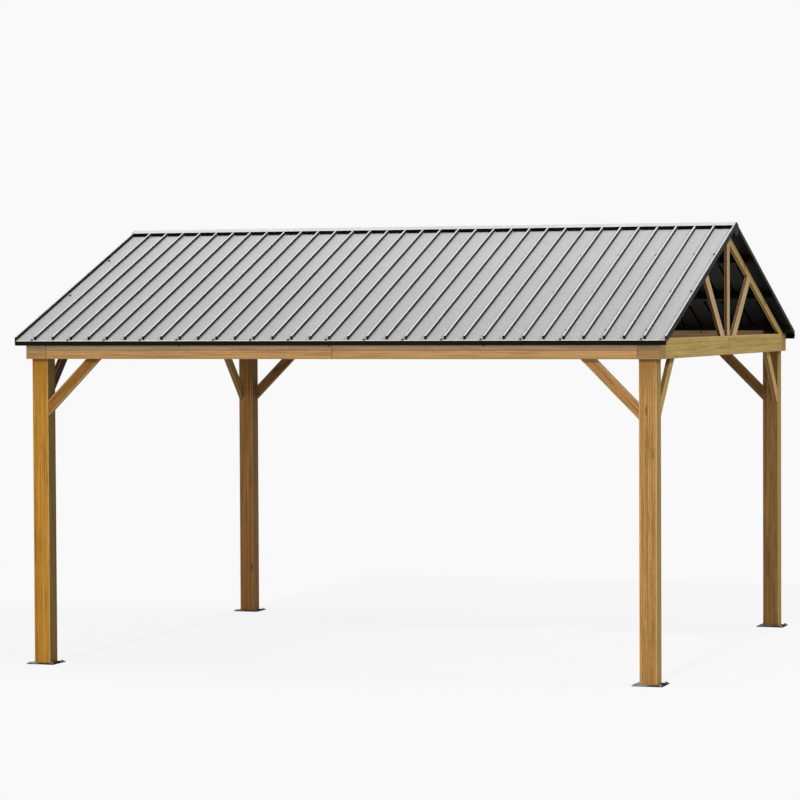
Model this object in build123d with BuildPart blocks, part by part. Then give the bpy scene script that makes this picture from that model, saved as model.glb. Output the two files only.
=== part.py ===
"""Garden gazebo: four timber posts, a beam frame with knee braces, two open
gable trusses and a ribbed sheet steel roof.

X runs along the ridge, Y across it, Z is up. The origin is on the ground, at
the middle of the plan. All sizes are in millimetres.
"""

from build123d import *
from math import cos, hypot, radians, sin, tan
import os

# Plan and posts
post_spacing_x = 4290
post_spacing_y = 3790
post_size = 118
post_edge_radius = 5

# Steel base plates under the posts
plate_size = 204
plate_thickness = 5
plate_corner_radius = 6
anchor_spacing = 166
anchor_hole_radius = 6

# Beam frame
beam_underside = 2100
beam_height = 132
beam_thickness = 118
beam_proud = 30
eave_beam_rise = 26
timber_edge = 2

# Knee braces, at 45 degrees
brace_reach = 390
brace_width = 75
brace_thickness = 28
brace_inset = 6

# Gable trusses
rafter_depth = 50
rafter_thickness = 24
king_post_width = 78
strut_width = 80
strut_foot = 180
strut_head = 670
truss_thickness = 21

# Roof frame, depths measured square to the slope
roof_pitch = 20.8
eave_lift = 12
eave_overhang = 61
rake_overhang = 61
purlin_depth = 48
purlin_width = 40
purlin_wall = 2
purlin_spacing = 722
eave_purlin_width = 50
ridge_purlin_width = 45

# Sheet roofing with folded ribs
sheet_thickness = 1
pan_width = 134
rib_height = 26
rib_base = 19
rib_top = 12
rib_stop = 22
ridge_gap = 8

# Folded trims and ridge cap
trim_thickness = 1.5
eave_trim_drop = 29
eave_trim_flange = 45
eave_trim_lip = 12
rake_trim_drop = 8
rake_flange = 10
rake_drip = 4
cap_flange = 66
apex_plate_width = 110
apex_plate_depth = 40
apex_plate_fit = 0.3

# Places worked out from the sizes above
post_outer_x = (post_spacing_x + post_size) / 2
post_outer_y = (post_spacing_y + post_size) / 2
post_inner_x = post_outer_x - post_size
post_inner_y = post_outer_y - post_size
frame_face_x = post_outer_x + beam_proud
frame_face_y = post_outer_y + beam_proud
beam_inner_x = frame_face_x - beam_thickness
beam_inner_y = frame_face_y - beam_thickness
beam_top = beam_underside + beam_height
eave_beam_top = beam_top + eave_beam_rise
brace_line_x = post_outer_x - brace_inset - brace_thickness / 2
brace_line_y = post_outer_y - brace_inset - brace_thickness / 2

pitch = radians(roof_pitch)
roof_half_depth = frame_face_y + eave_overhang
roof_half_length = frame_face_x + rake_overhang
slope_length = roof_half_depth / cos(pitch)
ridge_z = beam_top + eave_lift + frame_face_y * tan(pitch)
rafter_top = -purlin_depth
rafter_underside = -purlin_depth - rafter_depth
rib_crest = sheet_thickness + rib_height
trim_face_x = roof_half_length - rake_drip
eave_line = (post_spacing_y / 2) / cos(pitch)

# Across the front slope: x along the ridge, y square to the sheet, z down the slope
down_front_slope = Plane(
    origin=(0, 0, ridge_z),
    x_dir=(1, 0, 0),
    z_dir=(0, -cos(pitch), -sin(pitch)),
)


def roof_z(y, level=0):
    """Height, y away from the ridge, of the plane `level` above the sheet's underside."""
    return ridge_z - abs(y) * tan(pitch) + level / cos(pitch)


def reach_at(z, level=0):
    """Distance from the ridge where that plane comes down to height z."""
    return (ridge_z + level / cos(pitch) - z) / tan(pitch)


def folded(path, thickness):
    """Outline of a sheet folded along path, with its thickness on the path's right."""
    points = [Vector(x, y) for x, y in path]
    rights = []
    for start, end in zip(points, points[1:]):
        along = (end - start).normalized()
        rights.append(Vector(along.Y, -along.X))
    before = [rights[0]] + rights
    after = rights + [rights[-1]]
    inner = []
    for point, a, b in zip(points, before, after):
        inner.append(point + (a + b) * (thickness / (1 + a.dot(b))))
    return points + inner[::-1]


def save(piece, name):
    """Label a finished piece and write it as its own file."""
    piece.part.label = name
    export_step(piece.part, f"parts/{name}.step")


def save_mirrored(piece, name, *planes):
    """Write the piece reflected in each plane in turn."""
    shape = piece.part
    for plane in planes:
        with BuildPart() as reflected:
            mirror(shape, about=plane)
        shape = reflected.part
    save(reflected, name)


def save_four(piece, stem):
    """Write a front right piece and its reflections at the other three corners."""
    save(piece, f"{stem}_front_right")
    save_mirrored(piece, f"{stem}_front_left", Plane.YZ)
    save_mirrored(piece, f"{stem}_back_right", Plane.XZ)
    save_mirrored(piece, f"{stem}_back_left", Plane.YZ, Plane.XZ)


os.makedirs("parts", exist_ok=True)
corner_x = post_spacing_x / 2
corner_y = -post_spacing_y / 2

# Base plate: square steel plate with an anchor hole near each corner
with BuildPart() as base_plate:
    with BuildSketch() as plate_outline:
        with Locations((corner_x, corner_y)):
            RectangleRounded(plate_size, plate_size, plate_corner_radius)
            with GridLocations(anchor_spacing, anchor_spacing, 2, 2):
                Circle(anchor_hole_radius, mode=Mode.SUBTRACT)
    extrude(amount=plate_thickness)
save_four(base_plate, "base_plate")

# Post: square timber with eased edges, standing on its plate
with BuildPart() as post:
    with BuildSketch(Plane.XY.offset(plate_thickness)) as post_section:
        with Locations((corner_x, corner_y)):
            RectangleRounded(post_size, post_size, post_edge_radius)
    extrude(amount=beam_underside - plate_thickness)
save_four(post, "post")

# Corner block: caps the post and takes the ends of both beams
with BuildPart() as corner_block:
    with BuildSketch(Plane.XY.offset(beam_underside)) as block_plan:
        with Locations((post_inner_x, -frame_face_y)):
            Rectangle(
                frame_face_x - post_inner_x,
                frame_face_y - post_inner_y,
                align=(Align.MIN, Align.MIN),
            )
    extrude(amount=beam_height)
    chamfer(corner_block.edges(), length=timber_edge)
save_four(corner_block, "corner_block")

# Eave beam: one half of the long beam, its outer edge planed to the pitch under the sheet
planed_width = eave_beam_rise / tan(pitch)

with BuildPart() as eave_beam:
    with BuildSketch(Plane.YZ) as eave_beam_section:
        with BuildLine():
            Polyline(
                (-frame_face_y, beam_underside),
                (-frame_face_y, beam_top),
                (planed_width - frame_face_y, eave_beam_top),
                (-beam_inner_y, eave_beam_top),
                (-beam_inner_y, beam_underside),
                close=True,
            )
        make_face()
    extrude(amount=post_inner_x)
    chamfer(eave_beam.edges(), length=timber_edge)
save_four(eave_beam, "eave_beam")

# Gable beam: one half of the short beam, carrying the gable truss
with BuildPart() as gable_beam:
    with BuildSketch(Plane.XZ) as gable_beam_section:
        with Locations((frame_face_x, beam_underside)):
            Rectangle(beam_thickness, beam_height, align=(Align.MAX, Align.MIN))
    extrude(amount=post_inner_y)
    chamfer(gable_beam.edges(), length=timber_edge)
save_four(gable_beam, "gable_beam")


def brace_outline(post_face, turn):
    """Corners of a brace from a post face to the beam, leaning towards turn."""
    inner_reach = brace_reach - brace_width / sin(radians(45))
    return [
        (post_face, beam_underside - brace_reach),
        (post_face, beam_underside - inner_reach),
        (post_face + turn * inner_reach, beam_underside),
        (post_face + turn * brace_reach, beam_underside),
    ]


# Eave brace: in line with the long beam
with BuildPart() as eave_brace:
    with BuildSketch(Plane.XZ.offset(brace_line_y)) as eave_brace_face:
        with BuildLine():
            Polyline(*brace_outline(post_inner_x, -1), close=True)
        make_face()
    extrude(amount=brace_thickness / 2, both=True)
save_four(eave_brace, "eave_brace")

# Gable brace: in line with the short beam
with BuildPart() as gable_brace:
    with BuildSketch(Plane.YZ.offset(brace_line_x)) as gable_brace_face:
        with BuildLine():
            Polyline(*brace_outline(-post_inner_y, 1), close=True)
        make_face()
    extrude(amount=brace_thickness / 2, both=True)
save_four(gable_brace, "gable_brace")

# Rafter: plumb cut against the king post, its foot level on the gable beam
eave_purlin_near = (post_spacing_y - eave_purlin_width) / 2
eave_purlin_far = (post_spacing_y + eave_purlin_width) / 2

with BuildPart() as rafter:
    with BuildSketch(Plane.YZ.offset(frame_face_x - rafter_thickness)) as rafter_face:
        with BuildLine():
            Polyline(
                (0, roof_z(0, rafter_top)),
                (0, roof_z(0, rafter_underside)),
                (-frame_face_y, roof_z(frame_face_y, rafter_underside)),
                (-frame_face_y, roof_z(frame_face_y, rafter_top)),
                close=True,
            )
        make_face()
        with Locations((-eave_purlin_near, beam_top)):
            Rectangle(
                eave_purlin_near - king_post_width / 2,
                ridge_z - beam_top,
                align=(Align.MIN, Align.MIN),
                mode=Mode.INTERSECT,
            )
    extrude(amount=rafter_thickness)
save_four(rafter, "rafter")

# King post: stands on the splice of the gable beams, pointed to fit under the ridge purlin
with BuildPart() as king_post:
    with BuildSketch(Plane.YZ.offset(frame_face_x - truss_thickness)) as king_post_face:
        with BuildLine():
            Polyline(
                (-king_post_width / 2, beam_top),
                (-king_post_width / 2, roof_z(king_post_width / 2, rafter_top)),
                (0, roof_z(0, rafter_top)),
                (king_post_width / 2, roof_z(king_post_width / 2, rafter_top)),
                (king_post_width / 2, beam_top),
                close=True,
            )
        make_face()
    extrude(amount=truss_thickness)
save(king_post, "king_post_right")
save_mirrored(king_post, "king_post_left", Plane.YZ)

# Fan struts: a pair that leans out from the king post's foot to the rafters
strut_rise = roof_z(strut_head, rafter_underside) - beam_top
strut_lean = (strut_head - strut_foot) / strut_rise
strut_half_foot = strut_width / 2 * hypot(1, strut_lean)


def strut_edge(foot):
    """Foot and head of one long edge of a strut, from its distance at the beam."""
    drop = roof_z(foot, rafter_underside) - beam_top
    rise = drop / (1 + strut_lean * tan(pitch))
    return (-foot, beam_top), (-foot - strut_lean * rise, beam_top + rise)


with BuildPart() as gable_struts:
    with BuildSketch(Plane.YZ.offset(frame_face_x - truss_thickness)) as strut_face:
        inner_foot, inner_head = strut_edge(strut_foot - strut_half_foot)
        outer_foot, outer_head = strut_edge(strut_foot + strut_half_foot)
        with BuildLine():
            Polyline(inner_foot, inner_head, outer_head, outer_foot, close=True)
        make_face()
        mirror(about=Plane.YZ)
    extrude(amount=truss_thickness)
save(gable_struts, "gable_struts_right")
save_mirrored(gable_struts, "gable_struts_left", Plane.YZ)

# Purlins: steel tubes across the rafters, and a bevelled one on the eave beam
purlin_count = int(eave_line // purlin_spacing)
purlin_half_length = trim_face_x - trim_thickness

with BuildPart() as purlins:
    with BuildSketch(Plane.YZ) as purlin_sections:
        for step in range(1, purlin_count + 1):
            down = eave_line - step * purlin_spacing
            centre = (-down * cos(pitch), ridge_z - down * sin(pitch))
            with Locations(Location(centre, roof_pitch)):
                Rectangle(purlin_width, purlin_depth, align=(Align.CENTER, Align.MAX))
        with BuildLine():
            Polyline(
                (-eave_purlin_near, eave_beam_top),
                (-eave_purlin_near, roof_z(eave_purlin_near)),
                (-eave_purlin_far, roof_z(eave_purlin_far)),
                (-eave_purlin_far, eave_beam_top),
                close=True,
            )
        make_face()
        offset(amount=-purlin_wall, mode=Mode.SUBTRACT)
    extrude(amount=purlin_half_length, both=True)
save(purlins, "purlins_front")
save_mirrored(purlins, "purlins_back", Plane.XZ)

# Ridge purlin: folded over the heads of the rafters and king posts
with BuildPart() as ridge_purlin:
    with BuildSketch(Plane.YZ) as ridge_purlin_section:
        with BuildLine():
            Polyline(
                (0, roof_z(0)),
                (-ridge_purlin_width, roof_z(ridge_purlin_width)),
                (-ridge_purlin_width, roof_z(ridge_purlin_width, rafter_top)),
                (0, roof_z(0, rafter_top)),
                close=True,
            )
        make_face()
        mirror(about=Plane.YZ)
        offset(amount=-purlin_wall, mode=Mode.SUBTRACT)
    extrude(amount=purlin_half_length, both=True)
save(ridge_purlin, "ridge_purlin")

# Sheet roofing: pans between folded ribs, which stop short of the eave; the edge pans are wider
sheet_half_length = trim_face_x - trim_thickness
rib_count = int(2 * sheet_half_length // pan_width) - 1
first_rib = -(rib_count - 1) / 2 * pan_width

sheet_path = [(-sheet_half_length, sheet_thickness)]
for number in range(rib_count):
    rib_x = first_rib + number * pan_width
    sheet_path.append((rib_x - rib_base / 2, sheet_thickness))
    sheet_path.append((rib_x - rib_top / 2, rib_crest))
    sheet_path.append((rib_x + rib_top / 2, rib_crest))
    sheet_path.append((rib_x + rib_base / 2, sheet_thickness))
sheet_path.append((sheet_half_length, sheet_thickness))

with BuildPart() as roof_sheet:
    with BuildSketch(down_front_slope.offset(ridge_gap)) as ribbed_section:
        with BuildLine():
            Polyline(*folded(sheet_path, sheet_thickness), close=True)
        make_face()
    extrude(amount=slope_length - rib_stop - ridge_gap)
    with BuildSketch(down_front_slope.offset(slope_length - rib_stop)) as rib_ends:
        with BuildLine():
            Polyline(
                *sheet_path,
                (sheet_half_length, 0),
                (-sheet_half_length, 0),
                close=True,
            )
        make_face()
    extrude(amount=sheet_thickness)
    with BuildSketch(down_front_slope.offset(slope_length - rib_stop)) as eave_strip:
        Rectangle(2 * sheet_half_length, sheet_thickness, align=(Align.CENTER, Align.MIN))
    extrude(amount=rib_stop)
save(roof_sheet, "roof_sheet_front")
save_mirrored(roof_sheet, "roof_sheet_back", Plane.XZ)

# Eave trim: tucked under the sheet, down over its edge and back in at the bottom
flange_y = roof_half_depth - eave_trim_flange
trim_bottom = roof_z(roof_half_depth) - eave_trim_drop
eave_trim_path = [
    (eave_trim_lip - roof_half_depth, trim_bottom),
    (-roof_half_depth, trim_bottom),
    (-roof_half_depth, roof_z(roof_half_depth)),
    (-flange_y, roof_z(flange_y)),
]
with BuildPart() as eave_trim:
    with BuildSketch(Plane.YZ) as eave_trim_section:
        with BuildLine():
            Polyline(*folded(eave_trim_path, trim_thickness), close=True)
        make_face()
    extrude(amount=sheet_half_length, both=True)
save(eave_trim, "eave_trim_front")
save_mirrored(eave_trim, "eave_trim_back", Plane.XZ)

# Rake trim: edge rib, gable face and drip lip in one fold, plumb cut at the ridge and eave
rake_path = [
    (trim_face_x - rake_flange, sheet_thickness),
    (trim_face_x - rake_flange, rib_crest),
    (trim_face_x, rib_crest),
    (trim_face_x, -rake_trim_drop),
    (roof_half_length, -rake_trim_drop),
]
run_past = rib_crest + rake_trim_drop
with BuildPart() as rake_trim:
    with BuildSketch(down_front_slope.offset(-run_past)) as rake_section:
        with BuildLine():
            Polyline(*folded(rake_path, trim_thickness), close=True)
        make_face()
    extrude(amount=slope_length + 2 * run_past)
    split(bisect_by=Plane.XZ, keep=Keep.TOP)
    split(bisect_by=Plane.XZ.offset(roof_half_depth), keep=Keep.BOTTOM)
    with BuildSketch(Plane.YZ.offset(trim_face_x)) as drip_cut_back:
        with Locations((0, roof_z(0))):
            Rectangle(apex_plate_width + 2 * apex_plate_fit, 4 * run_past)
    extrude(amount=rake_drip, mode=Mode.SUBTRACT)
save_four(rake_trim, "rake_trim")

# Ridge cap: bent sheet on the rib crests of both slopes, with a plate closing each end
cap_reach = cap_flange * cos(pitch)
apex_half_width = apex_plate_width / 2
ridge_cap_path = [
    (cap_reach, roof_z(cap_reach, rib_crest)),
    (0, roof_z(0, rib_crest)),
    (-cap_reach, roof_z(cap_reach, rib_crest)),
]
with BuildPart() as ridge_cap:
    with BuildSketch(Plane.YZ) as ridge_cap_section:
        with BuildLine():
            Polyline(*folded(ridge_cap_path, trim_thickness), close=True)
        make_face()
    extrude(amount=roof_half_length, both=True)
    with BuildSketch(Plane.YZ.offset(trim_face_x)) as apex_plate_face:
        with BuildLine():
            Polyline(
                (0, roof_z(0, rib_crest)),
                (-apex_half_width, roof_z(apex_half_width, rib_crest)),
                (-apex_half_width, roof_z(apex_half_width) - apex_plate_depth),
                (0, roof_z(apex_half_width) - apex_plate_depth),
                close=True,
            )
        make_face()
        mirror(about=Plane.YZ)
    extrude(amount=trim_thickness)
    mirror(about=Plane.YZ)
save(ridge_cap, "ridge_cap")
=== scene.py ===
from math import cos, pi, radians, sin, tan

import bpy
from mathutils import Euler, Matrix, Vector


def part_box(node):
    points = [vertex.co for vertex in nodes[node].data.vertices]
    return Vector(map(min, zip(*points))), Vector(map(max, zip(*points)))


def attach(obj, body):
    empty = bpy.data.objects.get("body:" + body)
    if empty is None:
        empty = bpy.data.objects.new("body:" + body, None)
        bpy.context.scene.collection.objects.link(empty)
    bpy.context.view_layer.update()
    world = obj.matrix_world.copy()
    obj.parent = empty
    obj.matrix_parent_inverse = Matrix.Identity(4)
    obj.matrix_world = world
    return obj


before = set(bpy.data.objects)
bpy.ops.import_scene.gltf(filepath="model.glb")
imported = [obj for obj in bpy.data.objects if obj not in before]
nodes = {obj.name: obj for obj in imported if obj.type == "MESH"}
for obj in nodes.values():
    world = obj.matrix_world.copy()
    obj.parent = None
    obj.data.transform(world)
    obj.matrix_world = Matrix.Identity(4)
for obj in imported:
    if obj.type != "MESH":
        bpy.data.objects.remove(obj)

scene = bpy.context.scene
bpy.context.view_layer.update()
# Each corner of the plan, with the end it lies at along X and the side along Y
corners = {"front_left": (-1, -1), "front_right": (1, -1),
           "back_left": (-1, 1), "back_right": (1, 1)}


# Base plates: a square of galvanised steel plate under each post, cut with bare
# dark edges. It is drilled near its corners and bolted down to the ground.
# The pale blue-grey is a painted reflection of the sky on the plate's top
plate_sky_reflection = (0.36, 0.44, 0.50, 1)
plate_dull = (0.040, 0.031, 0.023, 1)
plate_edge = (0.010, 0.009, 0.008, 1)
sky_reflection_from, sky_reflection_to = -0.020, -0.080
sky_reflection_ragged = 0.05
plate_fleck, plate_cloud = 0.006, 0.07
plate_gloss = (0.42, 0.6)
plate_relief = (0.0004, 0.4)
looks_up = (0.35, 0.8)
looks_down = (-0.5, -0.7)
looks_sideways = (0.5, 0.8)
fleck_detail, fleck_span = 2.0, (0.3, 0.7)
cloud_detail, cloud_span = 4.0, (0.35, 0.65)


def feed(tree, node, inputs):
    """Link or set each named or numbered input of a node."""
    for socket, value in inputs.items():
        if isinstance(value, bpy.types.NodeSocket):
            tree.links.new(value, node.inputs[socket])
        else:
            node.inputs[socket].default_value = value
    return node


def add(tree, kind, inputs=None, **settings):
    """A new node in a tree, with its settings made and its inputs fed."""
    node = tree.nodes.new(kind)
    for setting, value in settings.items():
        setattr(node, setting, value)
    return feed(tree, node, inputs or {})


def new_group(name, inputs, outputs, kind="ShaderNodeTree"):
    """A node group with named sockets, and its input and output nodes."""
    tree = bpy.data.node_groups.new(name, kind)
    for way, sockets in (("INPUT", inputs), ("OUTPUT", outputs)):
        for socket, carries in sockets.items():
            tree.interface.new_socket(
                socket, in_out=way, socket_type="NodeSocket" + carries)
    return tree, add(tree, "NodeGroupInput"), add(tree, "NodeGroupOutput")


def noise(tree, place, scale, detail=2.0, roughness=0.5, distortion=0.0):
    """A noise value from 0 to 1 that follows the place given."""
    return add(tree, "ShaderNodeTexNoise", {
        "Vector": place, "Scale": scale, "Detail": detail,
        "Roughness": roughness, "Distortion": distortion}).outputs["Fac"]


def calc(tree, operation, first, second=0.0, third=0.0):
    """One step of arithmetic on values."""
    return add(tree, "ShaderNodeMath", {0: first, 1: second, 2: third},
               operation=operation).outputs[0]


def span(tree, value, low, high, to_low=0.0, to_high=1.0):
    """The value stretched from its own span to another, and held inside it."""
    return add(tree, "ShaderNodeMapRange", {
        "Value": value, "From Min": low, "From Max": high,
        "To Min": to_low, "To Max": to_high}).outputs["Result"]


def blend_colour(tree, share, first, second):
    """The first colour with the second over it, by that share."""
    return add(tree, "ShaderNodeMix", {"Factor": share, "A": first, "B": second},
               data_type="RGBA").outputs["Result"]


def split(tree, place):
    """The three coordinates of a place."""
    return add(tree, "ShaderNodeSeparateXYZ", {0: place}).outputs


def new_finish(name, **plain):
    """A material, its tree and its shader, with the sockets given set."""
    material = bpy.data.materials.new(name)
    material.use_nodes = True
    tree = material.node_tree
    shader = tree.nodes["Principled BSDF"]
    for socket, value in plain.items():
        shader.inputs[socket.replace("_", " ")].default_value = value
    return material, tree, shader


def coordinates(tree):
    """The piece's own coordinates and the way that its surface faces."""
    node = add(tree, "ShaderNodeTexCoord")
    return node.outputs["Object"], node.outputs["Normal"]


def put_group(tree, group, inputs):
    """A shader group placed in a material, with its inputs set."""
    return add(tree, "ShaderNodeGroup", inputs, node_tree=group)


def raise_surface(tree, shader, height, depth, strength):
    """Let a height that the surface has reach the shader as a bump."""
    bump = add(tree, "ShaderNodeBump", {
        "Height": height, "Distance": depth, "Strength": strength})
    feed(tree, shader, {"Normal": bump.outputs["Normal"]})


def dress(name, material):
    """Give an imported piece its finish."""
    piece = nodes[name]
    piece.data.materials.clear()
    piece.data.materials.append(material)


# Where a surface faces: masks for faces that look up, down, and across X
facing, facing_in, facing_out = new_group(
    "facing", {"Normal": "Vector"}, {"Up": "Float", "Down": "Float", "Sideways": "Float"})
facing_axes = split(facing, facing_in.outputs["Normal"])
feed(facing, facing_out, {
    "Up": span(facing, facing_axes["Z"], *looks_up),
    "Down": span(facing, facing_axes["Z"], *looks_down),
    "Sideways": span(facing, calc(facing, "ABSOLUTE", facing_axes["X"]), *looks_sideways)})

# Bloom of a coated or dipped steel surface: clouds, and flecks the size of a grain
bloom, bloom_in, bloom_out = new_group(
    "steel_bloom", {"Place": "Vector", "Fleck size": "Float", "Cloud size": "Float"},
    {"Fleck": "Float", "Cloud": "Float"})
given = bloom_in.outputs
fleck_noise = noise(bloom, given["Place"], calc(
    bloom, "DIVIDE", 1.0, given["Fleck size"]), fleck_detail)
cloud_noise = noise(bloom, given["Place"], calc(
    bloom, "DIVIDE", 1.0, given["Cloud size"]), cloud_detail)
feed(bloom, bloom_out, {
    "Fleck": span(bloom, fleck_noise, *fleck_span),
    "Cloud": span(bloom, cloud_noise, *cloud_span)})


def plate_finish(name, middle):
    """Galvanised plate: dark on top, with a painted reflection of the sky towards its left
    end.
    """
    material, tree, shader = new_finish(name, Specular_IOR_Level=0.0)
    place, normal = coordinates(tree)
    faces = put_group(tree, facing, {"Normal": normal})
    dip = put_group(tree, bloom, {
        "Place": place, "Fleck size": plate_fleck, "Cloud size": plate_cloud})
    along = calc(tree, "SUBTRACT", split(tree, place)["X"], middle.x)
    # Towards the left end the top is painted with a reflection of the sky, its edge ragged
    ragged = calc(tree, "MULTIPLY_ADD", dip.outputs["Cloud"], -sky_reflection_ragged, along)
    top_colour = blend_colour(
        tree, span(tree, ragged, sky_reflection_from, sky_reflection_to), plate_dull, plate_sky_reflection)
    feed(tree, shader, {
        "Base Color": blend_colour(tree, faces.outputs["Up"], plate_edge, top_colour),
        "Roughness": span(tree, dip.outputs["Fleck"], 0, 1, *plate_gloss)})
    raise_surface(tree, shader, dip.outputs["Fleck"], *plate_relief)
    return material


for corner in corners:
    low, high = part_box(f"base_plate_{corner}")
    dress(f"base_plate_{corner}",
          plate_finish(f"galvanised_plate_{corner}", (low + high) / 2))


# Anchor bolts: zinc plated hexagon bolts with washers that hold each base plate
# down to the ground, one near each of its corners.
anchor_spacing = 0.166
anchor_washer = (0.013, 0.0018)
anchor_head = (0.0095, 0.0075)
zinc_bright = (0.34, 0.35, 0.36, 1)
zinc_dull = (0.10, 0.10, 0.10, 1)
zinc_gloss = (0.3, 0.5)
bolt_fleck, bolt_cloud = 0.003, 0.02
washer_sides, head_sides = 12, 6


def steel_finish(name, first, second, fleck, cloud, gloss, relief=None, **plain):
    """Plated or coated steel, clouded from the first colour to the second."""
    material, tree, shader = new_finish(name, **plain)
    dip = put_group(tree, bloom, {
        "Place": coordinates(tree)[0], "Fleck size": fleck, "Cloud size": cloud})
    feed(tree, shader, {
        "Base Color": blend_colour(tree, dip.outputs["Cloud"], first, second),
        "Roughness": span(tree, dip.outputs["Fleck"], 0, 1, *gloss)})
    if relief:
        raise_surface(tree, shader, dip.outputs["Fleck"], *relief)
    return material


def place_at(tree, x=0.0, y=0.0, z=0.0):
    """A place put together from its coordinates."""
    return add(tree, "ShaderNodeCombineXYZ", {"X": x, "Y": y, "Z": z}).outputs[0]


def stand_square(tree):
    """The turn that stands Z of a copy along the facing that its point carries."""
    square = add(tree, "GeometryNodeInputNamedAttribute", {"Name": "square_to"},
                 data_type="FLOAT_VECTOR")
    return add(tree, "FunctionNodeAlignRotationToVector", {
        "Vector": square.outputs["Attribute"]}, axis="Z").outputs[0]


def set_on_points(tree, start, end, inputs):
    """Set a copy on every point, make the copies real and give them their finish."""
    placed = add(tree, "GeometryNodeInstanceOnPoints", {
        "Points": start.outputs["Points"], **inputs})
    real = add(tree, "GeometryNodeRealizeInstances", {"Geometry": placed.outputs[0]})
    dressed = add(tree, "GeometryNodeSetMaterial", {
        "Geometry": real.outputs[0], "Material": start.outputs["Finish"]})
    feed(tree, end, {0: dressed.outputs[0]})


# A washer and a hexagon head on every point, square to its facing
fixings, fixings_in, fixings_out = new_group(
    "set_fixings",
    {"Points": "Geometry", "Washer radius": "Float", "Washer thickness": "Float",
     "Head radius": "Float", "Head height": "Float", "Turn seed": "Int",
     "Finish": "Material"},
    {"Fixings": "Geometry"}, "GeometryNodeTree")
given = fixings_in.outputs
both = add(fixings, "GeometryNodeJoinGeometry")
beneath = 0.0
for part, sides, depth in (("Washer", washer_sides, given["Washer thickness"]),
                           ("Head", head_sides, given["Head height"])):
    solid = add(fixings, "GeometryNodeMeshCylinder", {
        "Vertices": sides, "Radius": given[part + " radius"], "Depth": depth})
    middle = calc(fixings, "MULTIPLY_ADD", depth, 0.5, beneath)
    lifted = add(fixings, "GeometryNodeTransform", {
        "Geometry": solid.outputs["Mesh"], "Translation": place_at(fixings, z=middle)})
    feed(fixings, both, {0: lifted.outputs[0]})
    beneath = depth
turn = add(fixings, "FunctionNodeRandomValue", {
    "Min": 0.0, "Max": 2 * pi / head_sides, "Seed": given["Turn seed"]}, data_type="FLOAT")
spin = add(fixings, "FunctionNodeAxisAngleToRotation", {
    "Axis": (0, 0, 1), "Angle": turn.outputs[1]})
rotation = add(fixings, "FunctionNodeRotateRotation", {
    0: stand_square(fixings), 1: spin.outputs[0]}, rotation_space="LOCAL")
set_on_points(fixings, fixings_in, fixings_out, {
    "Instance": both.outputs[0], "Rotation": rotation.outputs[0]})


def new_points(name, places):
    """A mesh of bare points, from (point, facing) pairs, that carry their facings."""
    points = bpy.data.meshes.new(name)
    points.from_pydata([place for place, square_to in places], [], [])
    facings = points.attributes.new("square_to", "FLOAT_VECTOR", "POINT")
    for number, (place, square_to) in enumerate(places):
        facings.data[number].vector = square_to
    return points


def grow(name, points, tree, inputs):
    """The piece that a tree makes from a mesh of points, kept as a plain mesh."""
    piece = bpy.data.objects.new(name, points)
    scene.collection.objects.link(piece)
    modifier = piece.modifiers.new(tree.name, "NODES")
    modifier.node_group = tree
    for socket in tree.interface.items_tree:
        if socket.name in inputs and socket.in_out == "INPUT":
            modifier[socket.identifier] = inputs[socket.name]
    seen = piece.evaluated_get(bpy.context.evaluated_depsgraph_get())
    mesh = bpy.data.meshes.new_from_object(seen)
    piece.modifiers.remove(modifier)
    piece.data = mesh
    mesh.name = name
    return piece


def set_fixings(name, places, washer, head, finish, seed):
    """One mesh of washers and heads, at places given as (point, facing) pairs."""
    piece = grow(name, new_points(name + "_points", places), fixings, {
        "Washer radius": washer[0], "Washer thickness": washer[1],
        "Head radius": head[0], "Head height": head[1],
        "Turn seed": seed, "Finish": finish})
    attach(piece, "root")


zinc = steel_finish("zinc_plating", zinc_dull, zinc_bright, bolt_fleck, bolt_cloud,
                    zinc_gloss, Metallic=0.8)

anchor_places = []
for corner in corners:
    low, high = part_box(f"base_plate_{corner}")
    middle = (low + high) / 2
    for along in (-anchor_spacing / 2, anchor_spacing / 2):
        for across in (-anchor_spacing / 2, anchor_spacing / 2):
            anchor_places.append(
                ((middle.x + along, middle.y + across, high.z), (0, 0, 1)))
set_fixings("anchor_bolts", anchor_places, anchor_washer, anchor_head,
            zinc, seed=3)


# Posts: boxed from softwood boards, with grooved faces and a warm cedar stain.
# The front and back boards lap over the side boards, whose olive tone is a painted tint of the
# light from the right.
post_strips = 0.035
post_first_groove = 0.020
lap_board = 0.017
lap_line, lap_dark = 0.001, 0.45
post_foot_and_head_dark = 0.25
foot_reach, head_reach, head_shade = 1.5, 0.3, 2.8
drip_full, drip_dark = 0.4, 0.5
stain_light = (0.530, 0.300, 0.100, 1)
stain_dark = (0.235, 0.115, 0.030, 1)
# Side faces: the olive is a painted tint of the light from the right
side_light = (0.430, 0.268, 0.066, 1)
side_dark = (0.225, 0.138, 0.030, 1)
red_light = (0.640, 0.325, 0.105, 1)
red_dark = (0.290, 0.128, 0.032, 1)
russet_light = (0.340, 0.170, 0.048, 1)
russet_dark = (0.165, 0.074, 0.018, 1)
amber_light = (0.510, 0.255, 0.037, 1)
amber_dark = (0.245, 0.106, 0.011, 1)
knot_colour = (0.085, 0.040, 0.018, 1)
arris_highlight = (0.600, 0.430, 0.230, 1)
timber_gloss = (0.3, 0.7, 0.56, 0.70)
timber_relief = (0.0006, 0.6)
# How far each noise of the grain is drawn along it, then its scale, its detail,
# its roughness and its distortion
grain_noise = {
    "broad": (0.045, 42, 3.0, 0.55, 0.4), "streaks": (0.030, 105, 3.0, 0.6, 0.3),
    "fine": (0.045, 200, 2.0, 0.6), "pores": (0.020, 620, 2.0),
    "mottle": (0.400, 100, 2.0), "patches": (0.350, 5.0, 2.0)}
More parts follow.
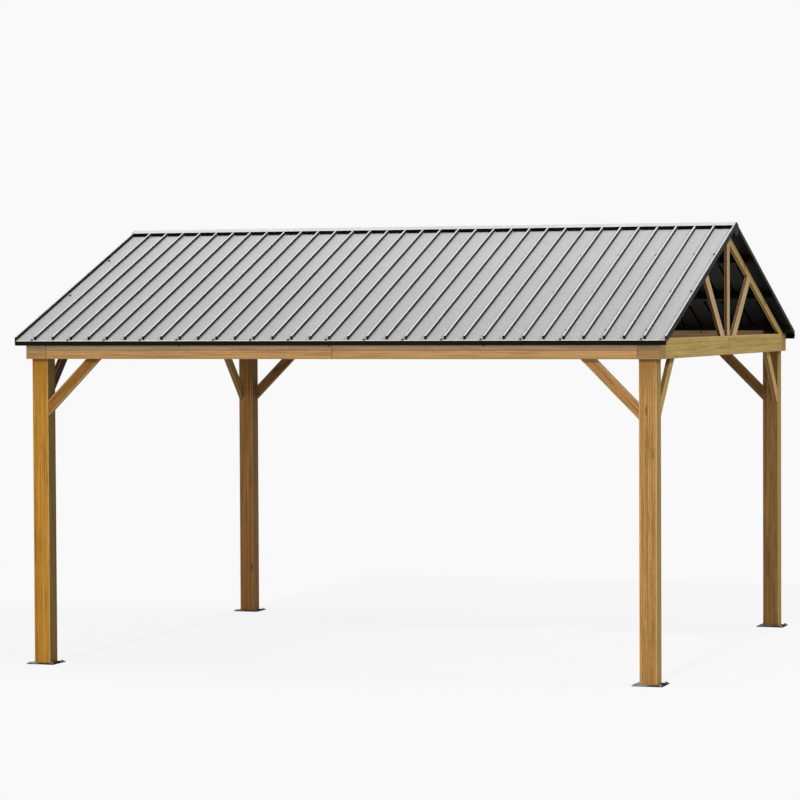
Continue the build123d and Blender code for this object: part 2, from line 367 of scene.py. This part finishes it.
# Where in its noise each feature begins and is full, then its share
broad_dark, least_dark = ("broad", 0.32, 0.68, 0.34), -0.09
grain_dark = (
    ("streaks", 0.50, 0.62, 0.38), ("patches", 0.35, 0.65, 0.14),
    ("mottle", 0.35, 0.65, 0.17), ("fine", 0.35, 0.7, 0.10), ("pores", 0.62, 0.75, 0.20))
grain_relief = (
    ("streaks", 0.45, 0.65, -0.5), ("fine", 0.3, 0.7, -0.3), ("pores", 0.6, 0.75, -0.4))
ring_dark, tone_dark, seam_dark, end_dark, knot_dark = 0.27, 0.16, 0.42, 0.75, 0.75
strip_slide = 9.0
pith_x, pith_y = -0.031, -0.047
ring_pitch, ring_wander, ring_edge = 0.012, 8.0, 3.0
knot_cell = (9, 9, 2.4)
knot_span = (0.12, 0.045)
knot_patches, knot_share = 1.7, 0.5
seam_width = 0.0022
end_line_span = (0.0055, 0.0025)
arris_span = (0.0065, 0.0025)
arris_highlight_breakup = (0.2, 0.6, 0.25, 0.8)


def stretch(tree, place, by, turn=(0, 0, 0)):
    """The place turned and scaled, to lay a pattern along a piece."""
    return add(tree, "ShaderNodeMapping", {
        "Vector": place, "Scale": by, "Rotation": turn}).outputs["Vector"]


# Grain along Z of the place given, strip by strip across X, inside the box Low to High
grain, grain_in, grain_out = new_group(
    "stained_grain",
    {"Place": "Vector", "Low": "Vector", "High": "Vector", "Strip width": "Float",
     "Strip start": "Float", "Light": "Color", "Dark": "Color", "Knot": "Color",
     "Arris": "Color"},
    {"Colour": "Color", "Roughness": "Float", "Height": "Float"})
given = grain_in.outputs
at = split(grain, given["Place"])
lowest = split(grain, given["Low"])
highest = split(grain, given["High"])


def from_side(axis):
    """How far a place is from the nearer side of the piece, across that axis."""
    return calc(grain, "MINIMUM",
                calc(grain, "SUBTRACT", at[axis], lowest[axis]),
                calc(grain, "SUBTRACT", highest[axis], at[axis]))


def pile_up(value, features):
    """A value with each named feature of the grain added to it, by its share."""
    for name, low, high, share in features:
        feature = span(grain, figure[name], low, high)
        value = calc(grain, "MULTIPLY_ADD", feature, share, value)
    return value


strip_run = calc(grain, "SUBTRACT", calc(grain, "SUBTRACT", at["X"], lowest["X"]),
                 given["Strip start"])
strip_place = calc(grain, "DIVIDE", strip_run, given["Strip width"])
piece_name = calc(grain, "ADD", lowest["X"], calc(grain, "ADD", lowest["Y"], lowest["Z"]))
strip_name = place_at(grain, calc(grain, "FLOOR", strip_place), piece_name)
strip_tone = add(grain, "ShaderNodeTexWhiteNoise", {"Vector": strip_name},
                 noise_dimensions="2D").outputs["Value"]
# Each strip is another length of wood, so its grain starts somewhere else
strip_shift = place_at(grain, strip_tone, z=calc(grain, "MULTIPLY", strip_tone, strip_slide))
wood_place = add(grain, "ShaderNodeVectorMath", {0: given["Place"], 1: strip_shift}).outputs[0]
figure = {}
for name, (drawn_out, *settings) in grain_noise.items():
    figure[name] = noise(grain, stretch(grain, wood_place, (1, 1, drawn_out)), *settings)
# Growth rings round a pith that lies outside the strip
ring_axes = split(grain, stretch(grain, wood_place, (1, 1, grain_noise["broad"][0])))
from_pith = calc(grain, "SQRT", calc(
    grain, "ADD",
    calc(grain, "POWER", calc(grain, "SUBTRACT", ring_axes["X"], pith_x), 2.0),
    calc(grain, "POWER", calc(grain, "SUBTRACT", ring_axes["Y"], pith_y), 2.0)))
ring_phase = calc(grain, "MULTIPLY_ADD", from_pith, 2 * pi / ring_pitch,
                  calc(grain, "MULTIPLY", figure["broad"], ring_wander))
rings = calc(grain, "POWER", calc(
    grain, "MULTIPLY_ADD", calc(grain, "SINE", ring_phase), 0.5, 0.5), ring_edge)
# Knots: few, small, drawn out a little along the grain
knot_cells = add(grain, "ShaderNodeTexVoronoi", {
    "Vector": stretch(grain, wood_place, knot_cell), "Scale": 1.0})
knot_pick = calc(grain, "GREATER_THAN", noise(
    grain, given["Place"], knot_patches, 1.0), knot_share)
knots = calc(grain, "MULTIPLY", knot_pick, span(
    grain, knot_cells.outputs["Distance"], *knot_span))
# The open seams between strips, and the cut edge at each end of the piece
seam_place = calc(grain, "ABSOLUTE", calc(
    grain, "SUBTRACT", calc(grain, "FRACT", strip_place), 0.5))
seam_reach = calc(grain, "SUBTRACT", 0.5, calc(
    grain, "DIVIDE", seam_width, given["Strip width"]))
seam = calc(grain, "GREATER_THAN", seam_place, seam_reach)
end_line = span(grain, from_side("Z"), *end_line_span)
# Share of dark
darkness = pile_up(least_dark, (broad_dark,) + grain_dark)
for feature, share in ((rings, ring_dark), (strip_tone, tone_dark),
                       (seam, seam_dark), (end_line, end_dark)):
    darkness = calc(grain, "MULTIPLY_ADD", feature, share, darkness)
wood = blend_colour(grain, darkness, given["Light"], given["Dark"])
wood = blend_colour(grain, calc(grain, "MULTIPLY", knots, knot_dark), wood, given["Knot"])
# The arrises are painted paler, a painted highlight, broken up by the grain
arris = span(grain, calc(grain, "MAXIMUM", from_side("X"), from_side("Y")), *arris_span)
arris = calc(grain, "MULTIPLY", arris, span(grain, figure["broad"], *arris_highlight_breakup))
arris = calc(grain, "MULTIPLY", arris, calc(grain, "SUBTRACT", 1.0, end_line))
wood = blend_colour(grain, arris, wood, given["Arris"])
feed(grain, grain_out, {
    "Colour": wood,
    "Roughness": span(grain, figure["fine"], *timber_gloss),
    "Height": calc(grain, "SUBTRACT", pile_up(1.0, grain_relief), seam)})


def timber_finish(piece, turn, strip, light, dark, side=None, upper=None, start=0.0,
                  fold=False, lap=0.0, drip=0.0, foot_and_head_dark=0.0, under=0.0):
    """Stained timber for one piece; turn lays Z of the pattern along it.

    strip is the width of its strips and start how far in the first of them begins.
    upper is the light and dark stain above the lowest strip, side that of the
    faces across X, where they differ. The upper stain is a paler wood, painted
    lighter still as painted light against the shadow of the eave; the side stain
    carries a painted tint of the light from the right, and on the back left post and
    the front left brace painted shade. A folded pattern is the same on both sides
    of the ridge. lap is the thickness of a board whose edge shows on those faces,
    drip the height of the band along the bottom where stain has gathered. damp is
    the share of dark that a post takes on: darker towards its foot, and painted
    shade at its head under the beam. under is the share of painted shade on faces
    that look down.
    """
    material, tree, shader = new_finish(piece + "_timber", Specular_IOR_Level=0.08)
    spin = Euler(turn).to_matrix()
    laid_points = []
    for vertex in nodes[piece].data.vertices:
        across = abs(vertex.co.y) if fold else vertex.co.y
        laid_points.append(spin @ Vector((vertex.co.x, across, vertex.co.z)))
    low = [min(point[axis] for point in laid_points) for axis in range(3)]
    high = [max(point[axis] for point in laid_points) for axis in range(3)]
    place, normal = coordinates(tree)
    parts = split(tree, place)
    if fold:
        place = place_at(tree, parts["X"], calc(tree, "ABSOLUTE", parts["Y"]), parts["Z"])
    piece_low, piece_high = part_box(piece)
    faces = put_group(tree, facing, {"Normal": normal})
    sideways = faces.outputs["Sideways"]
    if upper:
        is_upper = calc(tree, "GREATER_THAN", parts["Z"], piece_low.z + strip)
        light = blend_colour(tree, is_upper, light, upper[0])
        dark = blend_colour(tree, is_upper, dark, upper[1])
    if side:
        light = blend_colour(tree, sideways, light, side[0])
        dark = blend_colour(tree, sideways, dark, side[1])
    laid = put_group(tree, grain, {
        "Place": stretch(tree, place, (1, 1, 1), turn), "Low": low, "High": high,
        "Strip width": strip, "Strip start": start, "Light": light, "Dark": dark,
        "Knot": knot_colour, "Arris": arris_highlight})
    colour = laid.outputs["Colour"]
    if lap:
        from_face = calc(tree, "MINIMUM",
                         calc(tree, "SUBTRACT", parts["Y"], piece_low.y),
                         calc(tree, "SUBTRACT", piece_high.y, parts["Y"]))
        lapped = calc(tree, "MULTIPLY", sideways, span(tree, from_face, lap + lap_line, lap))
        colour = blend_colour(tree, calc(tree, "MULTIPLY", lapped, lap_dark), colour, dark)
    if drip:
        above = calc(tree, "SUBTRACT", parts["Z"], piece_low.z)
        band = span(tree, above, drip, drip_full * drip, 0.0, drip_dark)
        colour = blend_colour(tree, band, colour, dark)
    # Darker towards a post's foot; at its head, under the beam, painted shade
    if foot_and_head_dark:
        foot = span(tree, parts["Z"], foot_reach, 0.0, 0.0, foot_and_head_dark)
        head = span(tree, parts["Z"], piece_high.z - head_reach, piece_high.z,
                    0.0, head_shade * foot_and_head_dark)
        colour = blend_colour(tree, calc(tree, "MAXIMUM", foot, head), colour, dark)
    # Painted shade on faces that look down
    if under:
        below = calc(tree, "MULTIPLY", faces.outputs["Down"], under)
        colour = blend_colour(tree, below, colour, knot_colour)
    feed(tree, shader, {"Base Color": colour, "Roughness": laid.outputs["Roughness"]})
    raise_surface(tree, shader, laid.outputs["Height"], *timber_relief)
    return material


post_stain = {"front_left": (amber_light, amber_dark), "back_left": (red_light, red_dark)}
# The back left post's side faces are painted darker, as painted shade, as dark as its shaded
# front
side_stain = {"back_left": (russet_light, russet_dark)}
for corner in corners:
    light, dark = post_stain.get(corner, (stain_light, stain_dark))
    side = side_stain.get(corner, (side_light, side_dark))
    dress(f"post_{corner}", timber_finish(
        f"post_{corner}", (0, 0, 0), post_strips, light, dark, side,
        start=post_first_groove - post_strips, lap=lap_board, foot_and_head_dark=post_foot_and_head_dark))


# Corner blocks: short lengths of the beam timber that cap the posts and take
# the ends of both beams. Their grain runs level, in line with the eave beam.
beam_strips = 0.050
beam_drip = 0.012
lay_along_x = (0, -pi / 2, 0)
block_light = (0.420, 0.245, 0.105, 1)
block_dark = (0.225, 0.120, 0.042, 1)
# Above the lowest strip the block is painted lighter, as painted light against the eave's
# shadow
block_painted_light_upper = ((0.560, 0.370, 0.190, 1), (0.360, 0.215, 0.100, 1))
# Olive: a painted tint of the light from the right, on faces across X
olive_light = (0.515, 0.362, 0.112, 1)
olive_dark = (0.285, 0.185, 0.044, 1)

for corner in corners:
    dress(f"corner_block_{corner}", timber_finish(
        f"corner_block_{corner}", lay_along_x, beam_strips, block_light, block_dark,
        (olive_light, olive_dark), block_painted_light_upper, drip=beam_drip))


# Eave beams: two lengths meet at a splice in the middle of each long side. They
# are glued from two boards; the upper one, under the eave, is a paler wood, painted
# lighter still as painted light against the shadow that the eave casts on it.
beam_light = (0.500, 0.290, 0.115, 1)
beam_dark = (0.275, 0.148, 0.050, 1)
painted_light_upper_pale = (0.780, 0.520, 0.280, 1)
painted_light_upper_deep = (0.440, 0.270, 0.130, 1)

for corner in corners:
    dress(f"eave_beam_{corner}", timber_finish(
        f"eave_beam_{corner}", lay_along_x, beam_strips, beam_light, beam_dark,
        upper=(painted_light_upper_pale, painted_light_upper_deep), drip=beam_drip))


# Gable beams: spliced under the king post like the eave beams. Their olive tone
# is a painted tint of the light from the right.
lay_along_y = (pi / 2, 0, pi / 2)

for corner in corners:
    dress(f"gable_beam_{corner}", timber_finish(
        f"gable_beam_{corner}", lay_along_y, beam_strips, olive_light, olive_dark,
        drip=beam_drip))


# Knee braces: single boards at 45 degrees between post and beam, cut to fit
# against both. Two black screws hold each end from the inner side.
brace_lean = radians(45)
single_board = 0.2
brace_light = (0.470, 0.250, 0.088, 1)
brace_dark = (0.170, 0.070, 0.018, 1)
left_brace_light = (0.350, 0.160, 0.032, 1)
left_brace_dark = (0.095, 0.035, 0.006, 1)
shaded_brace = ((0.110, 0.058, 0.022, 1), (0.045, 0.022, 0.008, 1))

# The gable braces' faces across X carry the olive, a painted tint of the light from the right;
# on the front left one they are painted shade
for corner, (end, side) in corners.items():
    light, dark, inward = brace_light, brace_dark, (olive_light, olive_dark)
    if corner == "front_left":
        light, dark, inward = left_brace_light, left_brace_dark, shaded_brace
    dress(f"eave_brace_{corner}", timber_finish(
        f"eave_brace_{corner}", (0, end * brace_lean, 0), single_board,
        light, dark))
    dress(f"gable_brace_{corner}", timber_finish(
        f"gable_brace_{corner}", (-side * brace_lean, 0, 0), single_board,
        light, dark, inward))


# Gable trusses: rafters that butt against a king post, and two fan struts at each
# end, all flush with the gable beam's outer face and cut to fit under the roof.
roof_pitch = radians(20.8)
strut_lean = radians(50.3)
truss_light = (0.580, 0.440, 0.240, 1)
truss_dark = (0.300, 0.200, 0.080, 1)
truss_edge_light = (0.420, 0.205, 0.085, 1)
truss_edge_dark = (0.180, 0.070, 0.028, 1)
truss_faces = (truss_light, truss_dark)
truss_underside_shade = 0.7

# The rafters' faces across X carry the olive, a painted tint of the light from the right
for corner in corners:
    dress(f"rafter_{corner}", timber_finish(
        f"rafter_{corner}", (pi / 2 + roof_pitch, 0, 0), single_board,
        side_light, side_dark, (olive_light, olive_dark), fold=True))
for end in ("left", "right"):
    dress(f"king_post_{end}", timber_finish(
        f"king_post_{end}", (0, 0, 0), single_board,
        truss_edge_light, truss_edge_dark, truss_faces, under=truss_underside_shade))
    dress(f"gable_struts_{end}", timber_finish(
        f"gable_struts_{end}", (strut_lean, 0, 0), single_board, truss_edge_light,
        truss_edge_dark, truss_faces, fold=True, under=truss_underside_shade))


# Purlins: steel tubes in black powder coat, two rows screwed down on the rafters of
# each slope and one on the eave beam. The ridge purlin is folded over the heads of
# the rafters.
coat_black = (0.0062, 0.0058, 0.0050, 1)
coat_worn = (0.0125, 0.0115, 0.0095, 1)
purlin_fleck, purlin_cloud = 0.005, 0.4
purlin_gloss = (0.55, 0.7)
purlin_relief = (0.0003, 0.5)

purlin_coat = steel_finish("purlin_coat", coat_black, coat_worn, purlin_fleck,
                           purlin_cloud, purlin_gloss, purlin_relief,
                           Specular_IOR_Level=0.04)
for name in ("purlins_front", "purlins_back", "ridge_purlin"):
    dress(name, purlin_coat)


# Screws of the knee braces: black hexagon heads, two at each end of each brace,
# driven square through its inner face beside the post and under the beam.
brace_reach, brace_width = 0.390, 0.075
brace_screw_washer = (0.0062, 0.0008)
brace_screw_head = (0.0046, 0.0030)
screw_from_end = 0.015
screw_apart = 0.043
screw_gloss = (0.4, 0.55)

screw_black = steel_finish("screw_black", coat_black, coat_worn, bolt_fleck, bolt_cloud,
                           screw_gloss, Specular_IOR_Level=0.2)

# Along the brace's end, the middle of the cut is this far from the corner
cut_middle = brace_reach - brace_width / sin(brace_lean) / 2 - screw_from_end
brace_screw_places = []
for corner, (end, side) in corners.items():
    post_low, post_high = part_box(f"post_{corner}")
    eave_low, eave_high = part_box(f"eave_brace_{corner}")
    gable_low, gable_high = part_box(f"gable_brace_{corner}")
    inner_y = eave_low.y if side > 0 else eave_high.y
    inner_x = gable_low.x if end > 0 else gable_high.x
    post_face_x = post_low.x if end > 0 else post_high.x
    post_face_y = post_low.y if side > 0 else post_high.y
    for shift in (-screw_apart / 2, screw_apart / 2):
        for out, down in ((screw_from_end, cut_middle + shift),
                          (cut_middle + shift, screw_from_end)):
            height = post_high.z - down
            brace_screw_places.append(
                ((post_face_x - end * out, inner_y, height), (0, -side, 0)))
            brace_screw_places.append(
                ((inner_x, post_face_y - side * out, height), (-end, 0, 0)))
set_fixings("brace_screws", brace_screw_places, brace_screw_washer, brace_screw_head,
            screw_black, seed=5)


# Roof sheets: thin steel folded into pans and ribs. Their pale is a painted reflection of the
# sky on a black coat; the ribs' flanks are painted in shade, with a black line under each
# crest.
pan_pale = (0.495, 0.495, 0.495, 1)
pan_low = (0.390, 0.390, 0.390, 1)
pan_fleck = (0.250, 0.250, 0.250, 1)
pan_glint = (0.620, 0.620, 0.620, 1)
sheen_crest = (0.560, 0.560, 0.560, 1)
flank_grey = (0.125, 0.125, 0.125, 1)
rib_crest = 0.027
rib_pitch = 0.134
rib_count = 33
crest_shadow_depth, crest_shadow_edge = 0.013, 0.001
flank_from, flank_full = 0.003, 0.008
crest_from, crest_full = 0.8 * rib_crest, 0.9 * rib_crest
rib_stop = 0.022
rib_end_facing = 0.6
crease_width, crease_shade = 0.005, 0.35
pressed_edge = 0.010
rolled_along = (1, 0.45, 1)
sheet_fleck, sheet_cloud = 0.009, 0.35
beside_rib_shade = (0.05, 0.85, 0.30, 0.0)
cloud_shade = (0, 1, 0, 0.10)
fleck_shade = (0.35, 0, 0, 0.45)
fleck_shine = (0.65, 1, 0, 0.45)
sheet_gloss = (0.5, 0.62)
sheet_relief = (0.0005, 0.4)
ridge_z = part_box("ridge_purlin")[1].z
sheet_low, sheet_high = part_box("roof_sheet_front")
slope_length = -sheet_low.y / cos(roof_pitch)
first_rib = -(rib_count - 1) / 2 * rib_pitch

sheet_coat, tree, shader = new_finish("sheet_coat", Specular_IOR_Level=0.04)
place, normal = coordinates(tree)
faces = put_group(tree, facing, {"Normal": normal})
facing_axes = split(tree, normal)
dip = put_group(tree, bloom, {
    "Place": stretch(tree, place, rolled_along),
    "Fleck size": sheet_fleck, "Cloud size": sheet_cloud})
cloud, fleck = dip.outputs["Cloud"], dip.outputs["Fleck"]
parts = split(tree, place)
from_ridge = calc(tree, "ABSOLUTE", parts["Y"])
down_slope = calc(tree, "DIVIDE", from_ridge, cos(roof_pitch))
above_plane = calc(tree, "MULTIPLY", cos(roof_pitch), calc(tree, "SUBTRACT", calc(
    tree, "MULTIPLY_ADD", from_ridge, tan(roof_pitch), parts["Z"]), ridge_z))
rib_run = calc(tree, "DIVIDE", calc(tree, "SUBTRACT", parts["X"], first_rib), rib_pitch)
pan_run = calc(tree, "FRACT", rib_run)
beside_rib = calc(tree, "SUBTRACT", calc(
    tree, "FRACT", calc(tree, "ADD", rib_run, 0.5)), 0.5)
# The pans are painted with a reflection of the sky, darker towards the eave
pan = blend_colour(tree, span(tree, down_slope, 0, slope_length), pan_pale, pan_low)
# Painted shade across each pan, darkest beside the rib on its left
pan = blend_colour(tree, span(tree, pan_run, *beside_rib_shade), pan, pan_fleck)
pan = blend_colour(tree, span(tree, cloud, *cloud_shade), pan, pan_fleck)
pan = blend_colour(tree, span(tree, fleck, *fleck_shade), pan, pan_fleck)
pan = blend_colour(tree, span(tree, fleck, *fleck_shine), pan, pan_glint)
# Below the ribs' ends the pan is pressed flat; the crease there is painted shade, above an
# edge painted with a highlight
past_ribs = calc(tree, "SUBTRACT", down_slope, slope_length - rib_stop)
crease = calc(tree, "COMPARE", past_ribs, 0.0, crease_width)
pan = blend_colour(tree, calc(tree, "MULTIPLY", crease, crease_shade), pan, pan_fleck)
pan = blend_colour(tree, calc(tree, "GREATER_THAN", past_ribs, pressed_edge), pan, pan_glint)
# Painted highlight on the crests of the ribs
pan = blend_colour(tree, span(tree, above_plane, crest_from, crest_full), pan, sheen_crest)
# The flanks are painted shade, grey, with a black line of painted shadow under each crest
crest_shadow = span(tree, above_plane, rib_crest - crest_shadow_depth - crest_shadow_edge, rib_crest - crest_shadow_depth)
flank = blend_colour(tree, span(tree, above_plane, flank_from, flank_full), pan, flank_grey)
flank = blend_colour(tree, crest_shadow, flank, coat_black)
outer = blend_colour(tree, faces.outputs["Sideways"], pan, flank)
rib_end = calc(tree, "GREATER_THAN", calc(
    tree, "ABSOLUTE", facing_axes["Y"]), rib_end_facing)
outer = blend_colour(tree, rib_end, outer, coat_black)
# The underside, and the hollow of each rib, where faces look back at its middle
looks_back = calc(tree, "LESS_THAN", calc(
    tree, "MULTIPLY", beside_rib, facing_axes["X"]), 0.0)
under = calc(tree, "MAXIMUM", faces.outputs["Down"], calc(
    tree, "MULTIPLY", faces.outputs["Sideways"], looks_back))
feed(tree, shader, {
    "Base Color": blend_colour(tree, under, outer, coat_black),
    "Roughness": span(tree, fleck, 0, 1, *sheet_gloss)})
raise_surface(tree, shader, fleck, *sheet_relief)

for side in ("front", "back"):
    dress(f"roof_sheet_{side}", sheet_coat)


# Roofing screws: black hexagon heads with washers, driven through the pans
# beside every second rib into the purlins and the folds of the eave trims.
screw_washer = (0.0105, 0.0016)
screw_head = (0.0072, 0.0052)
screw_beside_rib = 0.022
purlin_rows = (0.583, 1.305)
eave_rows = (2.008, 2.172)
rake_screw_inset = 0.031
sheet_thickness = 0.001


def on_roof(side, along, down, out):
    """A point on the front (-1) or back (1) slope, and the way it faces."""
    downhill = Vector((0, side * cos(roof_pitch), -sin(roof_pitch)))
    outward = Vector((0, side * sin(roof_pitch), cos(roof_pitch)))
    point = Vector((along, 0, ridge_z)) + downhill * down + outward * out
    return tuple(point), tuple(outward)


screw_places = []
for side in (-1, 1):
    for down in purlin_rows + eave_rows:
        for rib in range(0, rib_count, 2):
            along = first_rib + rib * rib_pitch - screw_beside_rib
            screw_places.append(on_roof(side, along, down, sheet_thickness))
    for down in purlin_rows:
        for end in (-1, 1):
            along = end * (sheet_high.x - rake_screw_inset)
            screw_places.append(on_roof(side, along, down, sheet_thickness))
set_fixings("roofing_screws", screw_places, screw_washer, screw_head,
            screw_black, seed=11)


# Eave and rake trims, and the ridge cap: folded from the same coated steel.
# Their level folds are painted pale with a reflection of the sky, like the pans; their faces
# and drip lips stay black.
trim_pale = (0.520, 0.520, 0.520, 1)
trim_soot = (0.0040, 0.0040, 0.0037, 1)
trim_grey = (0.020, 0.020, 0.019, 1)
drip_lip_x = 2.2912
trim_fleck, trim_cloud = 0.007, 0.4
trim_gloss = (0.5, 0.65)
trim_relief = (0.0004, 0.5)

trim_coat, tree, shader = new_finish("trim_coat", Specular_IOR_Level=0.03)
place, normal = coordinates(tree)
faces = put_group(tree, facing, {"Normal": normal})
dip = put_group(tree, bloom, {
    "Place": place, "Fleck size": trim_fleck, "Cloud size": trim_cloud})
cloud, fleck = dip.outputs["Cloud"], dip.outputs["Fleck"]
soot = blend_colour(tree, cloud, trim_soot, coat_black)
side_colour = blend_colour(tree, faces.outputs["Sideways"], soot, trim_grey)
drip_lip = calc(tree, "GREATER_THAN", calc(
    tree, "ABSOLUTE", split(tree, place)["X"]), drip_lip_x)
# Painted reflection of the sky on the level folds
top_colour = blend_colour(tree, cloud, trim_pale, sheen_crest)
top_colour = blend_colour(tree, drip_lip, top_colour, coat_worn)
feed(tree, shader, {
    "Base Color": blend_colour(tree, faces.outputs["Up"], side_colour, top_colour),
    "Roughness": span(tree, fleck, 0, 1, *trim_gloss)})
raise_surface(tree, shader, fleck, *trim_relief)

for side in ("front", "back"):
    dress(f"eave_trim_{side}", trim_coat)
for corner in corners:
    dress(f"rake_trim_{corner}", trim_coat)
dress("ridge_cap", trim_coat)


# Ridge closures: a short black strip stands in each pan under the ridge cap,
# between the ribs, to keep rain and birds out. Its black is also painted shade,
# for the dark gap under the cap.
closure_down = 0.054
closure_thickness = 0.0015
rib_width = 0.0155
closure_black = (0.0015, 0.0015, 0.0015, 1)
closure_fleck, closure_cloud = 0.004, 0.1
closure_gloss = (0.7, 0.9)

closure_coat = steel_finish("closure_coat", closure_black, coat_black, closure_fleck,
                            closure_cloud, closure_gloss, Specular_IOR_Level=0.02)

# A strip on every point, as wide as the point's own width, square to its facing
strips, strips_in, strips_out = new_group(
    "fill_pans",
    {"Points": "Geometry", "Height": "Float", "Thickness": "Float", "Finish": "Material"},
    {"Strips": "Geometry"}, "GeometryNodeTree")
given = strips_in.outputs
strip = add(strips, "GeometryNodeMeshCube", {
    "Size": place_at(strips, 1.0, given["Thickness"], given["Height"])})
width = add(strips, "GeometryNodeInputNamedAttribute", {"Name": "width"},
            data_type="FLOAT").outputs["Attribute"]
set_on_points(strips, strips_in, strips_out, {
    "Instance": strip.outputs["Mesh"], "Rotation": stand_square(strips),
    "Scale": place_at(strips, width, 1.0, 1.0)})

closure_height = rib_crest - sheet_thickness
rib_places = [first_rib + rib * rib_pitch for rib in range(rib_count)]
pan_edges = [sheet_low.x - rib_width / 2] + rib_places + [sheet_high.x + rib_width / 2]
closure_places = []
closure_widths = []
for side in (-1, 1):
    for left, right in zip(pan_edges, pan_edges[1:]):
        closure_places.append(on_roof(
            side, (left + right) / 2, closure_down, sheet_thickness + closure_height / 2))
        closure_widths.append(right - left - rib_width)

closure_points = new_points("ridge_closure_points", closure_places)
widths = closure_points.attributes.new("width", "FLOAT", "POINT")
for number, closure_width in enumerate(closure_widths):
    widths.data[number].value = closure_width
closures = grow("ridge_closures", closure_points, strips, {
    "Height": closure_height, "Thickness": closure_thickness, "Finish": closure_coat})
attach(closures, "root")


# Trim bolts: black heads under the eave trims where their lengths lap, and bolts
# high inside the eave beams. Flat screws hold the plates that close the ridge cap.
lap_spacing = 1.07
trim_bolt_washer = (0.0056, 0.0010)
trim_bolt_head = (0.0048, 0.0065)
lip_middle = 0.006
beam_bolt_places = (-1.6, -0.53, 0.53, 1.6)
beam_bolt_drop = 0.013
apex_washer = (0.0060, 0.0006)
apex_head = (0.0045, 0.0016)
apex_screw_reach = 0.032
apex_screw_drop = 0.043
apex_plate_inset = 0.0025

trim_bolts = []
for side, inward in (("front", 1), ("back", -1)):
    low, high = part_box(f"eave_trim_{side}")
    lip_y = low.y + lip_middle if side == "front" else high.y - lip_middle
    for lap in (-lap_spacing, 0.0, lap_spacing):
        trim_bolts.append(((lap, lip_y, low.z), (0, 0, -1)))
    beam_low, beam_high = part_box(f"eave_beam_{side}_right")
    inner_y = beam_high.y if side == "front" else beam_low.y
    for along in beam_bolt_places:
        trim_bolts.append(((along, inner_y, beam_high.z - beam_bolt_drop), (0, inward, 0)))
set_fixings("trim_bolts", trim_bolts, trim_bolt_washer, trim_bolt_head,
            screw_black, seed=17)

plate_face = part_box("ridge_cap")[1].x - apex_plate_inset
apex_screws = []
for end in (-1, 1):
    for reach in (-apex_screw_reach, apex_screw_reach):
        apex_screws.append(((end * plate_face, reach, ridge_z - apex_screw_drop), (end, 0, 0)))
set_fixings("apex_screws", apex_screws, apex_washer, apex_head,
            screw_black, seed=19)


# Studio: a pale floor that is as white as the surroundings apart from the shadow,
# a soft key light and a low one from the front, one from the right, and the sky.
floor_reach = 60.0
floor_drop = 0.001
floor_colour = 0.42
floor_roughness = 0.9
shadow_share = 0.15
sky_strength = 0.42
white = 0.947
lamps = {
    "key_light": {"strength": 1.94, "azimuth": 0, "elevation": 34, "spread": 3},
    "low_light": {"strength": 0.72, "azimuth": 0, "elevation": 5, "spread": 6},
    "right_light": {"strength": 1.80, "azimuth": 95, "elevation": 42, "spread": 20}}

floor_light = sky_strength
for name, lamp in lamps.items():
    light = bpy.data.objects.new(name, bpy.data.lights.new(name, "SUN"))
    light.data.energy = lamp["strength"]
    light.data.angle = radians(lamp["spread"])
    light.rotation_euler = (
        radians(90 - lamp["elevation"]), 0, radians(lamp["azimuth"]))
    scene.collection.objects.link(light)
    floor_light += lamp["strength"] * sin(radians(lamp["elevation"])) / pi
# What the camera sees of the floor's own light comes to the white of the backdrop
glow_white = (white - shadow_share * floor_colour * floor_light) / (1 - shadow_share)


def seen_directly(tree):
    """1 for rays from the camera, from gloss and through glass, else 0."""
    ray = add(tree, "ShaderNodeLightPath").outputs
    direct = calc(tree, "MAXIMUM", ray["Is Camera Ray"], ray["Is Glossy Ray"])
    return calc(tree, "MAXIMUM", direct, ray["Is Transmission Ray"])


def mix_shaders(tree, share, first, second):
    """The first shader's light with the second over it, by that share."""
    return add(tree, "ShaderNodeMixShader", {
        0: share, 1: first.outputs[0], 2: second.outputs[0]}).outputs[0]


floor_mesh = bpy.data.meshes.new("floor")
floor_mesh.from_pydata(
    [(-floor_reach, -floor_reach, -floor_drop), (floor_reach, -floor_reach, -floor_drop),
     (floor_reach, floor_reach, -floor_drop), (-floor_reach, floor_reach, -floor_drop)],
    [], [(0, 1, 2, 3)])
floor = bpy.data.objects.new("floor", floor_mesh)
scene.collection.objects.link(floor)
floor_finish, tree, shader = new_finish(
    "pale_floor", Roughness=floor_roughness, Specular_IOR_Level=0.0,
    Base_Color=(floor_colour, floor_colour, floor_colour, 1))
glow = add(tree, "ShaderNodeEmission", {
    "Color": (glow_white, glow_white, glow_white, 1), "Strength": 1.0})
glow_share = calc(tree, "MULTIPLY", seen_directly(tree), 1 - shadow_share)
feed(tree, tree.nodes["Material Output"], {
    "Surface": mix_shaders(tree, glow_share, shader, glow)})
floor_mesh.materials.append(floor_finish)

world = bpy.data.worlds.new("white_surroundings")
scene.world = world
world.use_nodes = True
tree = world.node_tree
sky = feed(tree, tree.nodes["Background"], {
    "Color": (1, 1, 1, 1), "Strength": sky_strength})
backdrop = add(tree, "ShaderNodeBackground", {
    "Color": (white, white, white, 1), "Strength": 1.0})
feed(tree, tree.nodes["World Output"], {
    "Surface": mix_shaders(tree, seen_directly(tree), sky, backdrop)})

scene.view_settings.view_transform = "Standard"


# Camera: a long lens at standing eye height, to the front and right of the gazebo.
camera_place = (6.8814, -20.6726, 2.4129)
camera_yaw, camera_pitch, camera_roll = radians(18.9144), radians(-1.6855), radians(0.2749)
sensor_width, lens_length = 36, 135.2
sight_length = 200

camera = bpy.data.objects.new("camera", bpy.data.cameras.new("camera"))
camera.data.sensor_width = sensor_width
camera.data.lens = lens_length
camera.data.clip_end = sight_length
aim = Euler((pi / 2 + camera_pitch, 0, camera_yaw)).to_matrix()
aim = aim @ Matrix.Rotation(-camera_roll, 3, "Z")
camera.matrix_world = Matrix.Translation(camera_place) @ aim.to_4x4()
scene.collection.objects.link(camera)
scene.camera = camera
